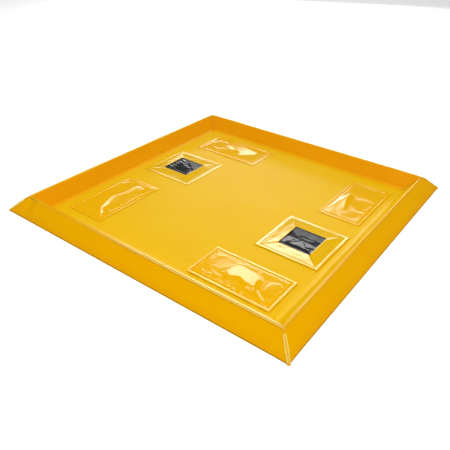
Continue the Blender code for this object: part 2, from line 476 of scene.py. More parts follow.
# How wide those welds are on each wall, the outer and the inner one, in metres, and between which places
# along the wall they fade in (-1 is its left end, seen from outside)
CREST_WELDS = {
    "front": ((0.0034, 0.0032), (-0.62, 0.10)),
    "right": ((0.0, 0.0013), (0.35, -0.60)),
    "back": ((0.0012, 0.0012), (-0.90, -0.80)),
    "left": ((0.0012, 0.0012), (-0.90, -0.80)),
}

# How far the fabric strays from a plain wall, metres: soft waves, the outer slope's belly, the dip of the
# crest at a mitre, the fold at the left end of the front wall, and each corner's drawn-out base tip
# (front right, back right, back left, front left)
SOFT_WAVES = 0.0009
BELLY = 0.0012
MITRE_DIP = 0.0016
CREASE_DEPTH = 0.0060
TIP_REACH = (0.0015, 0.0004, 0.0006, 0.0006)

# The foam's distances from the base and the foot along the profile, and its depth under the covers
FOAM_START = 0.010
FOAM_STOP = 0.006
FOAM_DEPTH = 0.0024

# The lap welded down a mitre, metres: its half width, what the lens adds to that, its two rims, and how
# far below the crest the lens ends. RIM_PLACE is a share of the half width.
LAP_WIDTH = 0.0011
LENS_WIDTH = 0.0036
RIM_HEIGHT = 0.0016
RIM_PLACE = 0.68
LENS_STOP = 0.010


def rounded(corners, radii):
    """Evenly spaced points along a path whose corners are rounded with arcs."""
    corners = [np.array(c, float) for c in corners]
    path = [corners[0]]
    for before, corner, after, radius in zip(corners, corners[1:], corners[2:], radii):
        to_before = (before - corner) / np.linalg.norm(before - corner)
        to_after = (after - corner) / np.linalg.norm(after - corner)
        half_angle = math.acos(np.clip(to_before @ to_after, -1, 1)) / 2
        tangent = radius / math.tan(half_angle)
        start, stop = corner + to_before * tangent, corner + to_after * tangent
        bisector = (to_before + to_after) / np.linalg.norm(to_before + to_after)
        centre = corner + bisector * radius / math.sin(half_angle)
        for share in np.linspace(0, 1, ARC_POINTS):
            spoke = (start - centre) * (1 - share) + (stop - centre) * share
            path.append(centre + spoke / np.linalg.norm(spoke) * radius)
    path.append(corners[-1])
    path = np.array(path)
    travelled = np.concatenate([[0], np.cumsum(np.linalg.norm(np.diff(path, axis=0), axis=1))])
    places = np.linspace(0, travelled[-1], round(travelled[-1] / PROFILE_STEP))
    return np.stack([np.interp(places, travelled, path[:, n]) for n in range(2)], axis=1), places


def wall_profile():
    """The fabric's path over a wall, as (inset, height), from under the base over the crest to the hem."""
    corners = [
        (0.0030, 0.0004),
        (0.0006, 0.0004),
        (0.0, 0.0032),
        (CREST_OUT, HEIGHT - CREST_DROP),
        (CREST_IN, HEIGHT - 0.0002),
        (FOOT, LOW),
        (HEM, FLOOR + 0.0001),
    ]
    return rounded(corners, [0.0012, 0.0040, 0.0050, 0.0026, 0.024])


PROFILE, TRAVEL = wall_profile()


def travel_at(inset, from_travel):
    """How far along the profile a given inset is reached, looking only past from_travel."""
    return TRAVEL[np.argmin(np.abs(PROFILE[:, 0] - inset) + (TRAVEL < from_travel))]


CREST_TRAVEL = travel_at((CREST_OUT + CREST_IN) / 2, CREST_OUT / 2)
FOOT_TRAVEL = travel_at(FOOT - FOOT_LAP, CREST_TRAVEL)


def normals_of(profile):
    """Unit normals of a profile, pointing out of the wall."""
    tangent = np.gradient(profile, axis=0)
    tangent /= np.linalg.norm(tangent, axis=1)[:, None]
    return np.stack([-tangent[:, 1], tangent[:, 0]], axis=1)


PROFILE_NORMALS = normals_of(PROFILE)


def wall_points(travel, along, quarters, lift=0.0):
    """Points of a wall's surface in the front wall's place.

    travel is the way along the profile, along runs from -1 at one mitre to 1 at the other, both as arrays
    of the same shape. lift raises the point off the surface.
    """
    inset = np.interp(travel, TRAVEL, PROFILE[:, 0])
    height = np.interp(travel, TRAVEL, PROFILE[:, 1])
    out_inset = np.interp(travel, TRAVEL, PROFILE_NORMALS[:, 0])
    out_height = np.interp(travel, TRAVEL, PROFILE_NORMALS[:, 1])
    reach = HALF - inset - MITRE_GAP
    x = along * reach
    to_corner = reach - np.abs(x)
    # Foam and fabric are never quite flat, but they are held at the mitres and at both feet.
    free = smoothstep(0, 0.06, to_corner) * smoothstep(0, 0.012, height)
    off_crest = 1 - 0.75 * bump(travel - CREST_TRAVEL, 0.012)
    soft = SOFT_WAVES * waves(x, travel * 2.0, 11 + quarters, 0.21) * free * off_crest
    belly = BELLY * np.sin(np.clip(height / HEIGHT, 0, 1) * math.pi) * smoothstep(0, 0.1, to_corner)
    raised = soft + belly * (travel < CREST_TRAVEL) + lift
    if quarters == 0:
        raised = raised + corner_crease(x, to_corner, height, travel)
    inset = inset + out_inset * raised
    height = height + out_height * raised
    # The crest sinks a little where the welded mitre pulls it in, and the base tip is drawn out.
    height = height - MITRE_DIP * bump(to_corner, 0.010) * smoothstep(0.5 * HEIGHT, HEIGHT, height)
    reach_out = np.where(along < 0, TIP_REACH[quarters - 1], TIP_REACH[quarters])
    drawn = reach_out * bump(to_corner, 0.045) * (1 - np.clip(height / (0.55 * HEIGHT), 0, 1)) ** 2
    drawn = drawn * (travel < CREST_TRAVEL)
    inset = inset - drawn
    x = x + np.sign(along) * drawn
    return np.stack([x, inset - HALF, height], axis=-1)


def corner_crease(x, to_corner, height, travel):
    """The soft fold at the left end of the front wall, which runs from the crest towards the foot."""
    share = 1 - np.clip(height / HEIGHT, 0, 1)
    line = 0.012 + 0.070 * share
    off = to_corner - line
    valley = np.clip(1 - np.sqrt(off**2 + 0.003**2) / np.where(off < 0, line, 0.030), 0, 1)
    return -CREASE_DEPTH * valley * (x < 0) * smoothstep(1.0, 0.55, share) * (travel < CREST_TRAVEL)


def wall_sheet(name, quarters, start, stop, material, step=COVER_STEP, lift=None):
    """One piece of a wall's fabric, between two places on the profile. lift says how it is embossed."""
    places = np.linspace(start, stop, round((stop - start) / step))
    along = np.linspace(-1, 1, round(2 * HALF / ALONG_STEP))
    travel, along = np.meshgrid(places, along, indexing="ij")
    raised = lift(travel, along) if lift else 0.0
    points = turned(wall_points(travel, along, quarters, raised), quarters)
    return new_object(name, grid_mesh(name, points[:, ::-1]), MATERIALS[material])


def crest_weight(points, quarters):
    """How far each point would follow its crest seam: in full at the middle's top, not at all at the mitres.
    """
    local = turned(points, -quarters)
    height = np.clip(local[:, 2] / HEIGHT, 0, 1)
    return height * smoothstep(HALF - 0.07, 0.20, np.abs(local[:, 0]))


def follow_crest(obj, quarters):
    """Bakes a wall piece's placement into its mesh and works out its crest weights, which spare the corners
    as the real tray's corners stay up. Nothing uses the weights.
    """
    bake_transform(obj)
    weights = crest_weight(points_of(obj.data), quarters)


def crest_lift(widths, fade):
    """The seam's strip, a little proud of the covers. Two welds are pressed along it, each nearly level."""

    def lift(travel, along):
        off = travel - CREST_TRAVEL
        raised = 0.0005 * smoothstep(CREST_REACH, CREST_REACH - 0.0012, np.abs(off))
        present = smoothstep(*fade, along)
        for start, width in zip(WELD_STARTS, widths):
            if width:
                past = off - start
                up = np.clip(past / WELD_RISE, 0, 1)
                down = np.clip(1 - (past - WELD_RISE) / width, 0, 1)
                raised = raised + WELD_TILT * width * present * np.minimum(up, down)
        return raised

    return lift


def mark_welds(obj, widths, material):
    """Gives the tops of the crest's two welds the material with a painted highlight."""
    rows = round(2 * CREST_REACH / CREST_STEP) - 1
    across = (np.arange(rows) + 0.5) / rows * 2 * CREST_REACH - CREST_REACH - WELD_RISE
    on_weld = np.zeros(rows, bool)
    for start, width in zip(WELD_STARTS, widths):
        on_weld |= (across > start) & (across < start + width)
    finish_faces(obj, material, np.repeat(on_weld, len(obj.data.polygons) // rows))


def foam_mesh(name, quarters):
    """The wedge inside the wall: it follows the covers from inside, and is cut short of the mitres."""
    ring = np.linspace(FOAM_START, FOOT_TRAVEL - FOAM_STOP, 48)
    along = np.linspace(-1, 1, 90)
    travel, along = np.meshgrid(ring, along, indexing="ij")
    reach = HALF - np.interp(travel, TRAVEL, PROFILE[:, 0]) - MITRE_GAP
    points = wall_points(travel, along * (1 - FOAM_STOP / reach), quarters, lift=-FOAM_DEPTH)
    points[..., 2] = np.maximum(points[..., 2], LOW + 0.0006)
    points = turned(points, quarters)
    around, count = points.shape[:2]
    index = np.arange(around * count).reshape(around, count)
    after = np.roll(index, -1, axis=0)
    quads = np.stack([index[:, :-1], index[:, 1:], after[:, 1:], after[:, :-1]], axis=-1).reshape(-1, 4)
    faces = quads.tolist() + [index[:, 0].tolist(), index[::-1, -1].tolist()]
    mesh = bpy.data.meshes.new(name)
    mesh.from_pydata(points.reshape(-1, 3).tolist(), [], faces)
    return mesh


def wall_pieces(wall, quarters, shade):
    """A wall's four pieces of fabric, each between two places on the profile, and its foam."""
    crest_start, crest_stop = CREST_TRAVEL - CREST_REACH, CREST_TRAVEL + CREST_REACH
    spans = {
        "outer_cover": (0, crest_start + COVER_LAP, "outer"),
        "inner_cover": (crest_stop - COVER_LAP, FOOT_TRAVEL, f"inner_{shade}"),
        "foot_weld": (FOOT_TRAVEL, TRAVEL[-1], f"foot_{shade}"),
    }
    pieces = {}
    for part, span in spans.items():
        pieces[part] = wall_sheet(f"{part}_{wall}_fabric", quarters, *span)
    # Painted light: the back and left walls' crests take a copy of the weld that is painted paler
    weld = "weld" if shade == "lit" else "shaded_crest_painted_light"
    lift = crest_lift(*CREST_WELDS[wall])
    pieces["crest_seam"] = wall_sheet(
        f"crest_seam_{wall}_fabric", quarters, crest_start, crest_stop, weld, CREST_STEP, lift
    )
    foam = f"foam_core_{wall}_soft"
    pieces["foam_core"] = new_object(foam, foam_mesh(foam, quarters), MATERIALS["foam"])
    return pieces


def build_walls():
    for quarters, wall in enumerate(WALLS):
        # The front and right walls take the painted-light copies, and the back and left walls the
        # painted-shade copies
        shade = "lit" if wall in ("front", "right") else "shaded"
        pieces = wall_pieces(wall, quarters, shade)
        # Only the front and right walls' crest welds get the painted highlight on their tops
        if shade == "lit":
            mark_welds(pieces["crest_seam"], CREST_WELDS[wall][0], f"painted_highlight_{wall}")
        for part, obj in pieces.items():
            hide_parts(f"{part}_{wall}")
            follow_crest(obj, quarters)
            if part != "foam_core":
                thicken(obj, SHEET)


def corner_weld(name, quarters):
    """The welded lap down a mitre: a narrow lens with two raised rims, coloured pale as a painted highlight,
    which closes over the crest.
    """
    places = np.linspace(0.003, TRAVEL[-1] - 0.012, 120)
    across = np.linspace(-1, 1, 21)
    travel, side = np.meshgrid(places, across, indexing="ij")
    lens_top = CREST_TRAVEL - LENS_STOP
    down = np.clip(1 - travel / lens_top, 0, 1)
    width = LAP_WIDTH + LENS_WIDTH * np.sin(down**0.9 * math.pi) ** 0.7 * (travel < lens_top)
    rims = RIM_HEIGHT * bump(np.abs(side) - RIM_PLACE, 0.22) * smoothstep(0.0012, 0.0026, width)
    edge = 1 - smoothstep(0.85, 1.0, np.abs(side))
    lift = (rims + 0.0004) * edge + 0.0002
    reach = HALF - np.interp(travel, TRAVEL, PROFILE[:, 0]) - MITRE_GAP
    along = 1 - np.abs(side * width) / reach
    near = wall_points(travel, along, quarters, lift)
    far = turned(wall_points(travel, -along, (quarters + 1) % 4, lift), 1)
    points = np.where((side < 0)[..., None], near, far)
    middle = np.abs(side) < 1e-9
    points[middle] = (near[middle] + far[middle]) / 2
    obj = new_object(name, grid_mesh(name, turned(points, quarters)), MATERIALS["weld"])
    on_rim = np.abs(np.abs(across[:-1] + across[1:]) / 2 - RIM_PLACE) < 0.2
    in_lens = (places[:-1] > 0.006) & (places[:-1] < lens_top - 0.004)
    # The rims take the pale cut-edge colour as a painted highlight
    finish_faces(obj, "edge", in_lens[:, None] & on_rim[None, :])
    thicken(obj, SHEET)
    return obj


def build_corners():
    for quarters, corner in enumerate(CORNERS):
        obj = corner_weld(f"corner_weld_{corner}_lap", quarters)
        place(obj, f"corner_weld_{corner}", "welded_fabric")


# -------------------- floor

# Heights of the floor's slow waves and of the small puckers round each weld, metres
FLOOR_WAVES = 0.0011
FLOOR_PUCKERS = 0.00035


def welded_rectangles():
    """Every pocket and frame as (centre x, centre y, half x, half y)."""
    found = []
    for node in [f"pocket_cover_{wall}" for wall in WALLS] + ["window_frame_left", "window_frame_right"]:
        low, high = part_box(node)
        middle = (low + high) / 2
        found.append((middle.x, middle.y, high.x - middle.x, high.y - middle.y))
    return found


def build_floor():
    """The sheet lies flat under every weld and lifts in slow, shallow waves between them."""
    steps = np.linspace(-HALF, HALF, 251)
    x, y = np.meshgrid(steps, steps, indexing="ij")
    out = np.maximum(np.abs(x), np.abs(y))
    free = smoothstep(HALF - HEM, HALF - HEM - 0.10, out)
    near = np.zeros_like(x)
    for cx, cy, hx, hy in welded_rectangles():
        outside = np.hypot(np.maximum(np.abs(x - cx) - hx, 0), np.maximum(np.abs(y - cy) - hy, 0))
        free = free * smoothstep(0.003, 0.05, outside)
        near = np.maximum(near, bump(outside - 0.014, 0.010) * (outside > 0))
    slow = 0.5 + 0.5 * waves(x, y, 5, 0.30)
    pull = waves(x, y, 8, 0.035) * near * smoothstep(HALF - HEM, HALF - HEM - 0.02, out)
    top = FLOOR - 0.0002 + FLOOR_WAVES * np.clip(slow, 0, 2) * free
    top = top + FLOOR_PUCKERS * pull * smoothstep(0, 0.01, near)
    points = np.stack([x, y, np.maximum(top, 0.0006)], axis=-1)
    lower = points.copy()
    lower[..., 2] = 0.0
    name = "floor_sheet_fabric"
    obj = new_object(name, closed_mesh(name, points, lower), MATERIALS["floor"])
    place(obj, "floor_sheet", "coated_fabric")


# -------------------- welded film

# Mesh steps of a film: close together within FINE_BORDER of its borders
FINE_BORDER = 0.014
FINE_STEP = 0.0008
COARSE_STEP = 0.0018

# The rounding of ridges and of a facet's edges, metres
ROUNDING = 0.0015

CLOTH_FRAMES = 12
CLOTH_STIFFNESS = 12.0


def fine_at_borders(low, high, opening):
    """Places from low to high, close together along the borders and on the opening's own edges."""
    middle = (low + high) / 2
    stops = [low, low + FINE_BORDER, high - FINE_BORDER, high]
    if opening:
        stops[2:2] = [middle - opening, middle + opening]
    places = [low]
    for number, (start, stop) in enumerate(zip(stops, stops[1:])):
        step = FINE_STEP if number in (0, len(stops) - 2) else COARSE_STEP
        places.extend(np.linspace(start, stop, round((stop - start) / step) + 1)[1:])
    return np.array(places)


def film_sheet(name, material, low, high, height, opening=None):
    """A sheet over a rectangle, with a square opening in its middle when one is given.

    height works out how high it stands above the floor, from places x and y round the middle. Both come
    back with the sheet, and so does the grid's shape.
    """
    x, y = np.meshgrid(*(fine_at_borders(low[n], high[n], opening) for n in (0, 1)), indexing="ij")
    keep = None
    if opening:
        middle_x = (x[:-1, :-1] + x[1:, 1:]) / 2 - (low[0] + high[0]) / 2
        middle_y = (y[:-1, :-1] + y[1:, 1:]) / 2 - (low[1] + high[1]) / 2
        keep = np.maximum(np.abs(middle_x), np.abs(middle_y)) > opening
    mesh = grid_mesh(name, np.stack([x, y, np.zeros_like(x)], axis=-1), keep)
    points = points_of(mesh)
    centre = np.array([(low.x + high.x) / 2, (low.y + high.y) / 2])
    around_x, around_y = (points[:, :2] - centre).T
    points[:, 2] = FLOOR + height(around_x, around_y)
    set_points(mesh, points)
    return new_object(name, mesh, MATERIALS[material]), around_x, around_y, x.shape


def side_share(x, y, half_x, half_y, soft=0.002):
    """1 where the nearest border is one that runs along Y, 0 where it is one that runs along X."""
    return smoothstep(-soft, soft, (half_y - np.abs(y)) - (half_x - np.abs(x)))


def weld_band(x, y, half_x, half_y, width, height, flatness, lean, wander, seed):
    """The bead all round a piece of film: round in section at a flatness of 2, flat-topped at more.

    Its top leans by lean metres a metre, so that it faces a little to the back and the left. Its outline
    strays by wander metres.
    """
    inside = np.minimum(half_x - np.abs(x), half_y - np.abs(y))
    inside = inside + wander * waves(x, y, seed, 0.030)
    across = np.clip(np.abs(inside - width / 2) / (width / 2), 0, 1)
    across_x = x - np.sign(x) * (half_x - width / 2)
    across_y = y - np.sign(y) * (half_y - width / 2)
    share = side_share(x, y, half_x, half_y)
    turn = lean * (across_x * share - across_y * (1 - share))
    return (height + turn) * (1 - across**flatness)


def off_path(x, y, path):
    """Distance from each point to a line of straight stretches, its side of it (1 on the left), and the
    share of the way along it."""
    best = np.full(np.shape(x), 1e9)
    side = np.ones(np.shape(x))
    along = np.zeros(np.shape(x))
    lengths = [math.dist(a, b) for a, b in zip(path, path[1:])]
    done = 0.0
    for (ax, ay), (bx, by), length in zip(path, path[1:], lengths):
        share = np.clip(((x - ax) * (bx - ax) + (y - ay) * (by - ay)) / length**2, 0, 1)
        distance = np.hypot(x - ax - share * (bx - ax), y - ay - share * (by - ay))
        turn = (bx - ax) * (y - ay) - (by - ay) * (x - ax)
        nearer = distance < best
        best = np.where(nearer, distance, best)
        side = np.where(nearer, np.where(turn < 0, -1, 1), side)
        along = np.where(nearer, (done + share * length) / sum(lengths), along)
        done += length
    return best, side, along


def tent(x, y, path, height, gentle, steep, ends):
    """A pinched ridge along a path. Its left flank falls over gentle metres, its right one over steep."""
    best, side, along = off_path(x, y, path)
    rounded_distance = np.sqrt(best**2 + ROUNDING**2) - ROUNDING
    reach = np.where(side > 0, gentle, steep)
    flank = np.clip(1 - rounded_distance / reach, 0, 1)
    fade = smoothstep(0, ends[0], along) * smoothstep(0, ends[1], 1 - along)
    return height * flank * fade


def outside_of(x, y, corners):
    """How far each point lies outside a polygon, 0 within it."""
    distance = off_path(x, y, corners + corners[:1])[0]
    within = np.zeros(np.shape(x), bool)
    for (ax, ay), (bx, by) in zip(corners, corners[1:] + corners[:1]):
        if ay != by:
            crossing = ax + (y - ay) * (bx - ax) / (by - ay)
            within ^= ((ay > y) != (by > y)) & (x < crossing)
    return np.where(within, 0.0, distance)


def stretched(x, y, inside, corners, top, slope, heading, curl, reach):
    """How film rises to a facet, from reach metres outside it. The facet falls towards its heading and
    curls down at its ends."""
    centre = np.mean(corners, axis=0)
    towards = direction(heading, 0.0)
    ahead = [(px - centre[0]) * towards.x + (py - centre[1]) * towards.y for px, py in corners]
    fall = (x - centre[0]) * towards.x + (y - centre[1]) * towards.y
    fall = np.clip(fall, min(ahead), max(ahead))
    away = np.sqrt(outside_of(x, y, corners) ** 2 + ROUNDING**2) - ROUNDING
    share = np.clip(1 - away / reach, 0, 1) * smoothstep(0, 0.012, inside)
    lift = np.maximum(top - slope * fall - curl * (x - centre[0]) ** 2, 0.0)
    return lift * share


def simulate(obj, pins, pressure, excess):
    """Runs Blender's cloth on a sheet and returns its new points. excess is the share of spare fabric."""
    group = obj.vertex_groups.new(name="pins")
    for level in np.unique(np.round(pins, 2)):
        if level > 0:
            members = np.flatnonzero(np.round(pins, 2) == level)
            group.add([int(n) for n in members], float(level), "REPLACE")
    cloth = obj.modifiers.new("cloth", "CLOTH")
    settings = cloth.settings
    settings.quality = 6
    settings.mass = 0.2
    settings.tension_stiffness = CLOTH_STIFFNESS
    settings.compression_stiffness = CLOTH_STIFFNESS
    settings.shear_stiffness = CLOTH_STIFFNESS / 3
    settings.bending_stiffness = 0.02
    settings.air_damping = 2.0
    settings.use_pressure = pressure != 0
    settings.uniform_pressure_force = pressure
    settings.vertex_group_mass = "pins"
    settings.shrink_min = -excess
    settings.effector_weights.gravity = 0.0
    cloth.collision_settings.use_collision = False
    scene = bpy.context.scene
    for number in range(1, CLOTH_FRAMES + 1):
        scene.frame_set(number)
    evaluated = obj.evaluated_get(bpy.context.evaluated_depsgraph_get())
    found = points_of(evaluated.data).copy()
    obj.modifiers.remove(cloth)
    obj.vertex_groups.clear()
    scene.frame_set(1)
    return found


def settle(obj, pins, pressure, excess, cap):
    """Lets a sheet wrinkle by simulation, with no point moving further than cap."""
    before = points_of(obj.data)
    moved = simulate(obj, pins, pressure, excess) - before
    length = np.linalg.norm(moved, axis=1)[:, None]
    moved *= np.tanh(length / cap) * cap / np.maximum(length, 1e-9)
    set_points(obj.data, before + moved)


def filling(name, node, cover, shape, clearance):
    """The closed pad under a film: the film's own surface, lowered, inside the CAD pad's outline."""
    low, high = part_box(node)
    points = points_of(cover.data).reshape(*shape, 3)
    x, y = points[..., 0], points[..., 1]
    rows = np.flatnonzero((x[:, 0] > low.x) & (x[:, 0] < high.x))
    columns = np.flatnonzero((y[0] > low.y) & (y[0] < high.y))
    top = points[rows[0] : rows[-1] + 1, columns[0] : columns[-1] + 1].copy()
    border = np.minimum.reduce([x[:, :1] - low.x, high.x - x[:, :1]])[rows]
    sides = np.minimum(y[:1] - low.y, high.y - y[:1])[:, columns]
    edge = np.minimum(border, sides)
    top[..., 2] -= clearance + 0.0015 * (1 - smoothstep(0, 0.008, edge))
    top[..., 2] = np.maximum(top[..., 2], low.z + 0.0008)
    lower = top.copy()
    lower[..., 2] = low.z
    pad = new_object(name, closed_mesh(name, top, lower), MATERIALS["pad"])
    place(pad, node, "pad_core")


# -------------------- pockets

# Pinched ridges of each pocket's film. Places are shares of the pocket's half length and half width,
# along X and Y. Heights and the widths of the flanks are in millimetres, the left flank first.
RIDGES = {
    "front": [
        ([(0.34, -0.18), (0.52, -0.42), (0.82, -0.82)], 1.5, 6, 9, (0.05, 0.2)),
        ([(-0.60, -0.58), (-0.52, -0.66)], 1.6, 5, 5, (0.4, 0.4)),
        ([(-0.32, -0.70), (-0.24, -0.92)], 1.2, 4, 5, (0.3, 0.3)),
        ([(-0.04, -0.74), (0.04, -0.92)], 1.2, 4, 4, (0.3, 0.3)),
        ([(0.10, -0.72), (0.13, -0.92)], 1.2, 4, 4, (0.3, 0.3)),
    ],
    "left": [
        ([(0.40, 0.85), (0.0, 0.72), (-0.06, 0.60), (0.0, 0.40), (-0.05, 0.25), (-0.20, 0.0), (-0.05, -0.25),
          (0.15, -0.55), (0.75, -0.88)], 0.9, 7, 7, (0.15, 0.15)),
        ([(0.45, -0.50), (0.88, -0.62)], 1.4, 5, 5, (0.4, 0.3)),
        ([(0.55, -0.15), (0.85, -0.25)], 1.4, 5, 5, (0.4, 0.3)),
        ([(0.70, 0.50), (0.90, 0.40)], 1.4, 5, 5, (0.4, 0.3)),
        ([(-0.80, -0.55), (-0.95, -0.75)], 1.4, 5, 5, (0.3, 0.3)),
        ([(-0.80, 0.70), (-0.90, 0.92)], 1.4, 5, 5, (0.3, 0.3)),
    ],
    "back": [
        ([(-0.60, 0.78), (-0.10, 0.78), (0.45, 0.84)], 0.9, 5, 6, (0.3, 0.3)),
    ],
    "right": [
        ([(0.13, 0.88), (0.40, 0.84)], 1.2, 5, 5, (0.3, 0.3)),
        ([(0.55, 0.90), (0.90, 0.84)], 1.2, 5, 5, (0.3, 0.3)),
    ],
}
# The pinched-up facet of a pocket: its corners as shares, its height, its fall a metre, the azimuth it
# falls towards, its curl, and how far the film round it is drawn up. The left pocket has none.
FACETS = {
    "front": (
        [(-0.62, 0.40), (-0.30, 0.52), (0.20, 0.46), (0.34, 0.14), (0.38, -0.24), (0.26, -0.28),
         (0.13, -0.18), (0.0, -0.05), (-0.19, -0.25), (-0.36, -0.07), (-0.46, -0.02)],
        0.0028, 0.052, -36, 0.50, 0.014,
    ),
    "back": (
        [(-0.21, 0.18), (0.12, 0.50), (0.58, 0.36), (0.64, -0.09), (0.72, -0.42), (0.29, -0.17)],
        0.0022, 0.094, 144, 0.35, 0.016,
    ),
    "right": (
        [(-0.66, -0.72), (-0.33, -0.68), (-0.19, -0.54), (-0.47, -0.06), (-0.52, 0.19)],
        0.0024, 0.048, 144, 0.0, 0.014,
    ),
}
# Each pocket's bead: its height, how flat-topped it is and how far it leans
BEADS = {
    "front": (0.0018, 6, 0.045),
    "right": (0.0007, 2, 0.0),
    "back": (0.0007, 2, 0.0),
    "left": (0.0007, 2, 0.0),
}
BAND_WIDTH = 0.0090
# The part of the bead's top that carries a painted highlight lies between these distances from the border
BEAD_HIGHLIGHT_FROM = 0.0018
BEAD_HIGHLIGHT_TO = 0.0072
# The film's thickness, the gap under it, how far it stays inside the CAD cover and how far it rises
# behind the bead
FILM = 0.0007
FILM_GAP = 0.0002
FILM_INSET = 0.0020
FILM_STEP = 0.0018


def pocket_height(x, y, half, wall):
    """How high a pocket's film stands above the floor: bead, then film drawn up to its facet and ridges."""
    half_x, half_y = half
    seed = 30 + WALLS.index(wall)
    inside = np.minimum(half_x - np.abs(x), half_y - np.abs(y))
    wander = 0.0007 if wall == "front" else 0.0003
    bead = weld_band(x, y, half_x, half_y, BAND_WIDTH, *BEADS[wall], wander, seed)
    free = np.maximum(inside - BAND_WIDTH, 0)
    drawn = FILM_STEP * smoothstep(0.0, 0.006, free)
    if wall in FACETS:
        corners, *shape = FACETS[wall]
        corners = [(px * half_x, py * half_y) for px, py in corners]
        drawn = drawn + stretched(x, y, free, corners, *shape)
    swell = 0.0002 * waves(x, y, seed + 4, 0.11) * smoothstep(0.012, 0.04, inside)
    total = FILM + FILM_GAP + bead + drawn + swell
    for path, height, gentle, steep, ends in RIDGES[wall]:
        places = [(px * half_x, py * half_y) for px, py in path]
        ridge = tent(x, y, places, height / 1000, gentle / 1000, steep / 1000, ends)
        total = total + ridge * smoothstep(BAND_WIDTH, BAND_WIDTH + 0.006, inside)
    pinches = 0.0003 * waves(x, y, seed + 8, 0.016) * bump(inside - 0.011, 0.005)
    return total + pinches * smoothstep(0.0, 0.004, inside)


def mark_bead(obj, inside):
    """Gives the top of a pocket's bead a pale painted highlight."""
    middle = (inside[:-1, :-1] + inside[1:, 1:]) / 2
    finish_faces(obj, "painted_highlight_film", (middle > BEAD_HIGHLIGHT_FROM) & (middle < BEAD_HIGHLIGHT_TO))


def build_pockets():
    for wall in WALLS:
        node = f"pocket_cover_{wall}"
        low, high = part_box(node)
        margin = Vector((FILM_INSET, FILM_INSET, 0))
        low, high = low + margin, high - margin
        half = ((high.x - low.x) / 2, (high.y - low.y) / 2)
        height = partial(pocket_height, half=half, wall=wall)
        obj, x, y, shape = film_sheet(f"{node}_film", "film", low, high, height)
        inside = np.minimum(half[0] - np.abs(x), half[1] - np.abs(y))
        # Only the front pocket's bead gets the painted highlight
        if wall == "front":
            mark_bead(obj, inside.reshape(shape))
        pins = 1 - smoothstep(BAND_WIDTH, BAND_WIDTH + 0.010, inside)
        settle(obj, pins, pressure=0.2, excess=0.004, cap=0.00011)
        thicken(obj, FILM)
        place(obj, node, "coated_fabric")
        filling(f"pocket_pad_{wall}_felt", f"pocket_pad_{wall}", obj, shape, FILM + 0.0004)


# -------------------- windows

FRAME_SHEET = 0.0013
PAD_FILM = 0.0005
# How far the black film stays inside the frame's outer edge, and the least it stands above the floor
PAD_INSET = 0.020
PAD_LEAST = 0.0006
# How much the film rises from the bead to the opening, on the near, right, far and left side
PANEL_RISES = {"left": (0.0018, 0.0018, 0.0012, 0.0026), "right": (0.0002, 0.0040, 0.0026, 0.0034)}
PANEL_WIDTH = 0.040
PANEL_START = 0.0016
FRAME_BAND = 0.0105
FRAME_BEADS = {"left": (0.0009, 2, 0.0), "right": (0.0016, 8, 0.0)}
OPENING = 0.051


def window_height(x, y, half, side):
    """The frame's film: a flat bead, then panels that climb gently to the opening."""
    seed = 60 if side == "left" else 61
    inside = half - np.maximum(np.abs(x), np.abs(y))
    bead = weld_band(x, y, half, half, FRAME_BAND, *FRAME_BEADS[side], 0.0003, seed)
    on_side = side_share(x, y, half, half, 0.003)
    near, right, far, left = PANEL_RISES[side]
    rise = on_side * np.where(x > 0, right, left) + (1 - on_side) * np.where(y > 0, far, near)
    panel = PANEL_START + rise * np.clip((inside - FRAME_BAND) / PANEL_WIDTH, 0, 1.1)
    total = FILM + FILM_GAP + bead + panel * smoothstep(FRAME_BAND - 0.0010, FRAME_BAND + 0.0020, inside)
    return total + 0.00012 * waves(x, y, seed + 3, 0.05) * smoothstep(0.01, 0.03, inside)


def pad_height(x, y, half, side):
    """The wrinkled black film over its pad: one half lies nearly level, the other falls away."""
    seed = 70 if side == "left" else 71
    inside = half - np.maximum(np.abs(x), np.abs(y))
    body = 0.0008 + 0.0026 * smoothstep(0, 0.030, inside)
    if side == "right":
        level = smoothstep(-0.006, -0.032, y)
        fall = 0.075 * np.clip(y + 0.005, 0, 0.060)
    else:
        level = smoothstep(0.006, -0.020, x)
        fall = 0.060 * np.clip(0.6 * x + 0.8 * y + 0.010, 0, 0.060)
    body = np.maximum(body - fall, PAD_LEAST)
    wrinkles = (0.00008 + 0.00030 * level) * waves(x, y, seed, 0.022)
    drop = 1 - smoothstep(0, 0.0035, inside)
    return (body + wrinkles) * (1 - drop) + 0.0010 * drop


def build_window_pad(side):
    """The black film and its pad. The film stays under the frame, but may rise in the opening."""
    low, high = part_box(f"window_pad_film_{side}")
    half = (high.x - low.x) / 2
    height = partial(pad_height, half=half, side=side)
    pad, x, y, shape = film_sheet(f"window_pad_film_{side}_wrap", "black", low, high, height)
    inside = half - np.maximum(np.abs(x), np.abs(y))
    settle(pad, 1 - smoothstep(0.004, 0.030, inside), pressure=0.1, excess=0.012, cap=0.00022)
    points = points_of(pad.data)
    roof = window_height(x, y, half + PAD_INSET, side) - FRAME_SHEET - 0.0014
    roof = roof + 0.0030 * smoothstep(0.0, 0.018, OPENING - np.maximum(np.abs(x), np.abs(y)))
    points[:, 2] = np.minimum(points[:, 2], FLOOR + np.maximum(roof, PAD_LEAST))
    set_points(pad.data, points)
    thicken(pad, PAD_FILM)
    place(pad, f"window_pad_film_{side}", "black_film")
    filling(f"window_pad_core_{side}_felt", f"window_pad_core_{side}", pad, shape, 2 * PAD_FILM)


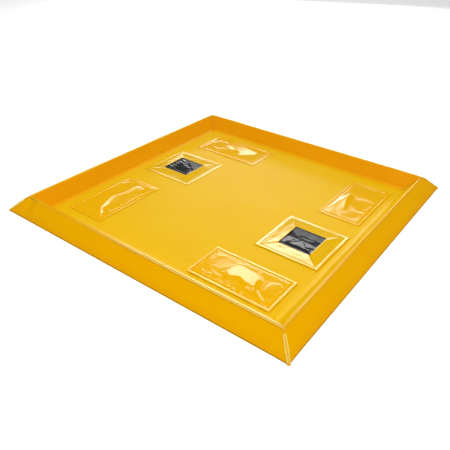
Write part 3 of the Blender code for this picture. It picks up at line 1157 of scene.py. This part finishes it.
def build_window_frame(side):
    node = f"window_frame_{side}"
    low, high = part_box(node)
    half = (high.x - low.x) / 2
    height = partial(window_height, half=half, side=side)
    obj, x, y, _ = film_sheet(f"{node}_film", "frame", low, high, height, OPENING)
    inside = half - np.maximum(np.abs(x), np.abs(y))
    settle(obj, 1 - 0.9 * smoothstep(0.010, 0.030, inside), pressure=0.05, excess=0.006, cap=0.00015)
    obj.data.materials.append(MATERIALS["edge"])
    thicken(obj, FRAME_SHEET)
    obj.modifiers["thickness"].material_offset_rim = 1
    place(obj, node, "coated_fabric")


def build_windows():
    for side in ("left", "right"):
        build_window_pad(side)
        build_window_frame(side)


# -------------------- stage

# How bright the surroundings are: the sky as a light, the sky in reflections, the paper in reflections
SKY = 0.50
GLOSSY_SKY = 0.05
GLOSSY_PAPER = 0.25
PAPER_SIZE = 12.0
PAPER_DROP = 0.0004
LIGHT_DISTANCE = 4.0

# The small softboxes that light one pocket each: azimuth, elevation, size and power
POCKET_SOFTBOXES = {
    "left": (-45.0, 36.0, 0.45, 5.0),
    "right": (-19.5, 34.5, 0.32, 1.8),
}


def area_light(name, place, target, size_x, size_y, power):
    data = bpy.data.lights.new(name, "AREA")
    data.shape = "RECTANGLE"
    data.size = size_x
    data.size_y = size_y
    data.energy = power
    obj = bpy.data.objects.new(name, data)
    obj.location = place
    obj.rotation_euler = (Vector(target) - Vector(place)).to_track_quat("-Z", "Y").to_euler()
    bpy.context.scene.collection.objects.link(obj)


def build_sky():
    """An even sky: white where the camera sees it, dim in reflections."""
    world = bpy.data.worlds.new("studio")
    bpy.context.scene.world = world
    n = Nodes(world)
    paths = n.add("ShaderNodeLightPath")
    strength = n.math("MULTIPLY", paths.outputs["Is Glossy Ray"], GLOSSY_SKY - SKY)
    strength = n.math("ADD", strength, SKY)
    strength = n.math("MAXIMUM", strength, paths.outputs["Is Camera Ray"])
    sky = n.add("ShaderNodeBackground")
    n.link(strength, sky.inputs["Strength"])
    n.link(sky.outputs["Background"], n.add("ShaderNodeOutputWorld").inputs["Surface"])


def studio_paper():
    """Matt white paper, which looks dimmer in reflections."""
    paper = bpy.data.materials.new("studio_paper")
    n = Nodes(paper)
    shader = n.add("ShaderNodeBsdfPrincipled")
    shader.inputs["Base Color"].default_value = (0.86, 0.86, 0.86, 1)
    shader.inputs["Roughness"].default_value = 0.9
    shader.inputs["Specular IOR Level"].default_value = 0.0
    shader.inputs["Emission Color"].default_value = (1, 1, 1, 1)
    shader.inputs["Emission Strength"].default_value = 0.30
    dim = n.add("ShaderNodeEmission", Strength=GLOSSY_PAPER)
    which = n.add("ShaderNodeMixShader")
    n.link(n.add("ShaderNodeLightPath").outputs["Is Glossy Ray"], which.inputs["Fac"])
    n.link(shader.outputs["BSDF"], which.inputs[1])
    n.link(dim.outputs["Emission"], which.inputs[2])
    n.link(which.outputs["Shader"], n.add("ShaderNodeOutputMaterial").inputs["Surface"])
    return paper


def build_paper():
    turns = ((-1, -1), (1, -1), (1, 1), (-1, 1))
    corners = [(x * PAPER_SIZE, y * PAPER_SIZE, -PAPER_DROP) for x, y in turns]
    mesh = bpy.data.meshes.new("studio_floor")
    mesh.from_pydata(corners, [], [(0, 1, 2, 3)])
    new_object("studio_floor", mesh, studio_paper())


def build_lights():
    area_light("back_softbox", (-1.9, 3.3, 0.80), (0, 0, 0), 2.6, 0.9, 50)
    area_light("near_softbox", direction(-28.0, 35.2) * LIGHT_DISTANCE, (0, 0, 0), 1.22, 0.62, 17)
    for pocket, (azimuth, elevation, size, power) in POCKET_SOFTBOXES.items():
        low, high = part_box(f"pocket_cover_{pocket}")
        middle = (low + high) / 2
        lamp = middle + direction(azimuth, elevation) * LIGHT_DISTANCE
        area_light(f"{pocket}_softbox", lamp, middle, size, size, power)
    area_light("top_softbox", (0.1, -0.2, 2.6), (0, 0, 0), 1.6, 1.6, 30)
    area_light("front_fill", (1.5, -1.7, 2.9), (0, 0, 0), 1.6, 1.2, 36)


def build_stage():
    bpy.context.scene.view_settings.view_transform = "Standard"
    build_sky()
    build_paper()
    build_lights()


def build_camera():
    """The photograph's view: azimuth, elevation, roll and distance of the eye round a point on the floor."""
    azimuth, elevation, roll = math.radians(36.0), math.radians(32.86), math.radians(1.56)
    distance = 1.5257 * 2 * HALF
    target = Vector((0.0672, -0.1474, 0.0)) * 2 * HALF
    level = math.cos(elevation)
    back = Vector((math.sin(azimuth) * level, -math.cos(azimuth) * level, math.sin(elevation)))
    data = bpy.data.cameras.new("camera")
    data.lens = 40.55
    data.sensor_width = 36.0
    camera = bpy.data.objects.new("camera", data)
    camera.location = target + back * distance
    look = (-back).to_track_quat("-Z", "Y")
    camera.rotation_mode = "QUATERNION"
    camera.rotation_quaternion = look @ Quaternion((0, 0, 1), roll)
    bpy.context.scene.collection.objects.link(camera)
    bpy.context.scene.camera = camera


build_floor()
build_walls()
build_corners()
build_pockets()
build_windows()
build_stage()
build_camera()
